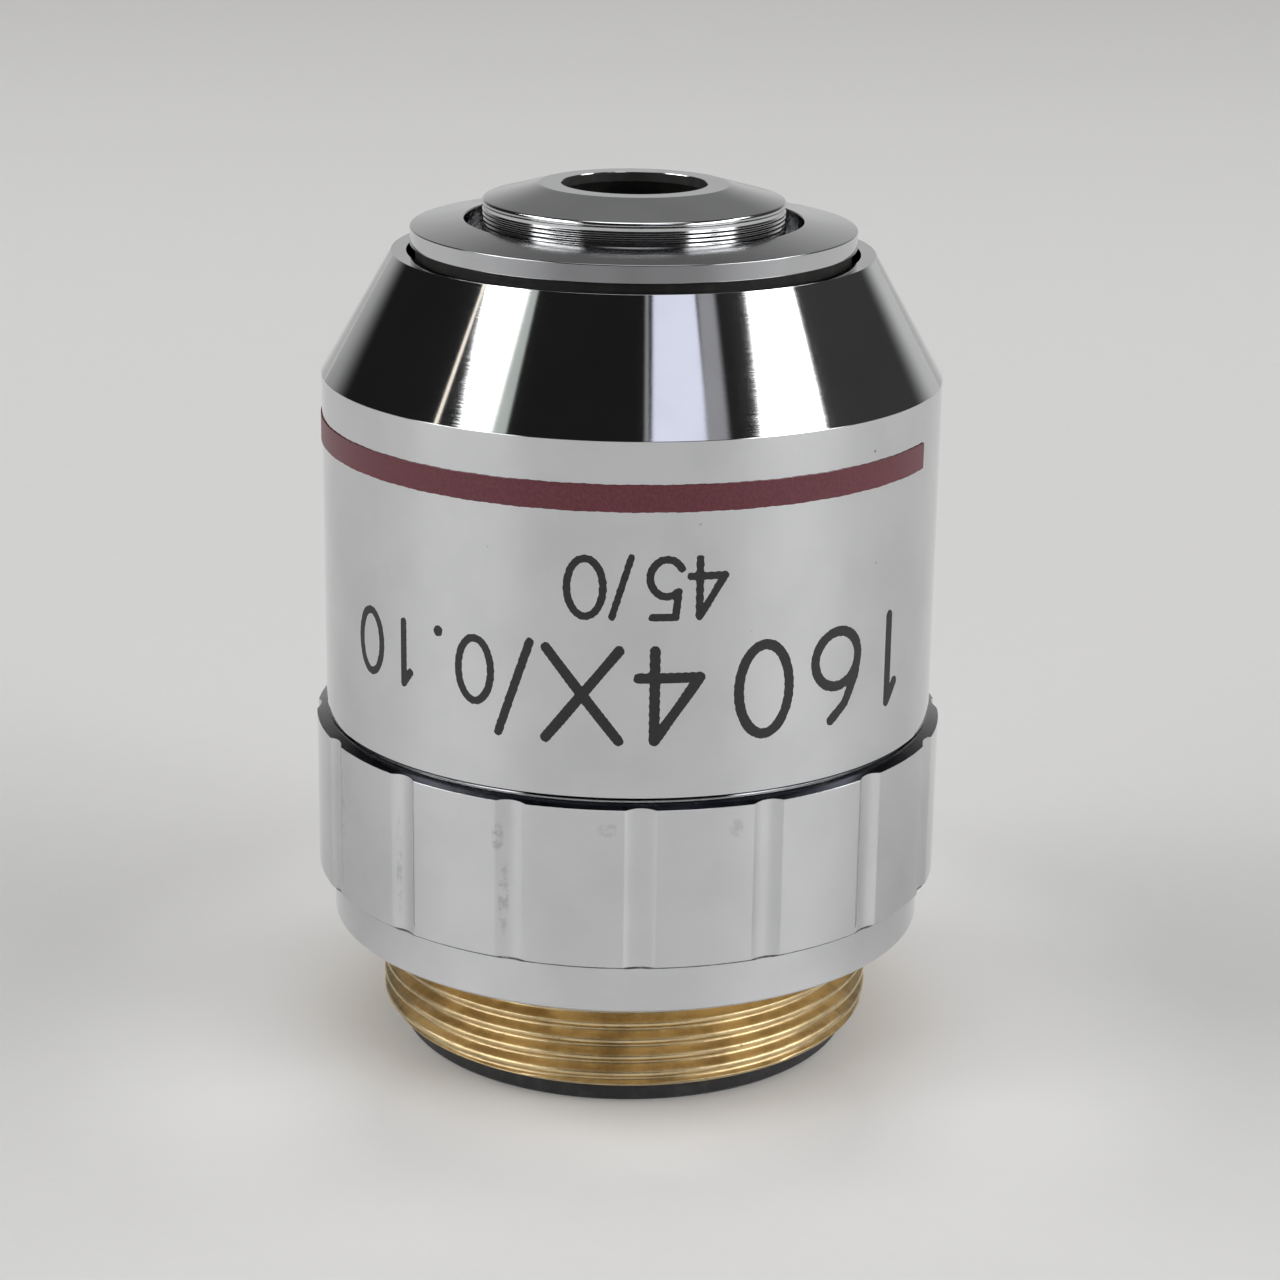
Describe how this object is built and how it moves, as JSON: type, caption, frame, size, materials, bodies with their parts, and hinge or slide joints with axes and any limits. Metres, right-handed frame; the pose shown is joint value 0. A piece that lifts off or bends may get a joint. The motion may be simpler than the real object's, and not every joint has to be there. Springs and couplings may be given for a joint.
{
  "type": "microscope objective",
  "caption": "Low-power long-working-distance microscope objective: chromed sleeve with a cone, fluted grip ring, brass RMS thread, lens cells and a light hole in the nose.",
  "frame": {"origin": "on the optical axis in the plane of the mounting shoulder, where the RMS thread begins", "axes": "+Z along the optical axis from the thread towards the nose; -Y is the side with the figures"},
  "size_m": [0.0254, 0.0254, 0.0351],
  "materials": {
    "chrome_sleeve": "polished chrome with fine turning marks",
    "chrome_ring": "bright chrome, slightly stained",
    "satin_chrome": "satin chrome",
    "red_ink": "printed maroon ink",
    "bare_brass": "bare turned brass",
    "black_anodise": "black anodised",
    "blackened_brass": "matt blackened",
    "crown_glass": "polished, coated",
    "flint_glass": "polished, coated"
  },
  "bodies": {
    "root": {"outer_sleeve": "chrome_sleeve", "colour_band": "red_ink", "grip_ring": "chrome_ring", "thread_mount": "bare_brass", "rear_end_ring": "black_anodise", "front_ring": "satin_chrome", "nose_cell": "satin_chrome", "lens_barrel": "blackened_brass", "parfocal_spacer": "bare_brass", "cell_lock_ring": "black_anodise", "rear_cell": "blackened_brass", "rear_flint_lens": "flint_glass", "rear_crown_lens": "crown_glass", "rear_lens_retainer": "black_anodise", "air_gap_spacer": "blackened_brass", "middle_cell": "blackened_brass", "middle_lens": "crown_glass", "middle_lens_retainer": "black_anodise", "aperture_stop": "black_anodise", "front_crown_lens": "crown_glass", "front_flint_lens": "flint_glass", "front_lens_retainer": "black_anodise"}
  },
  "joints": []
}
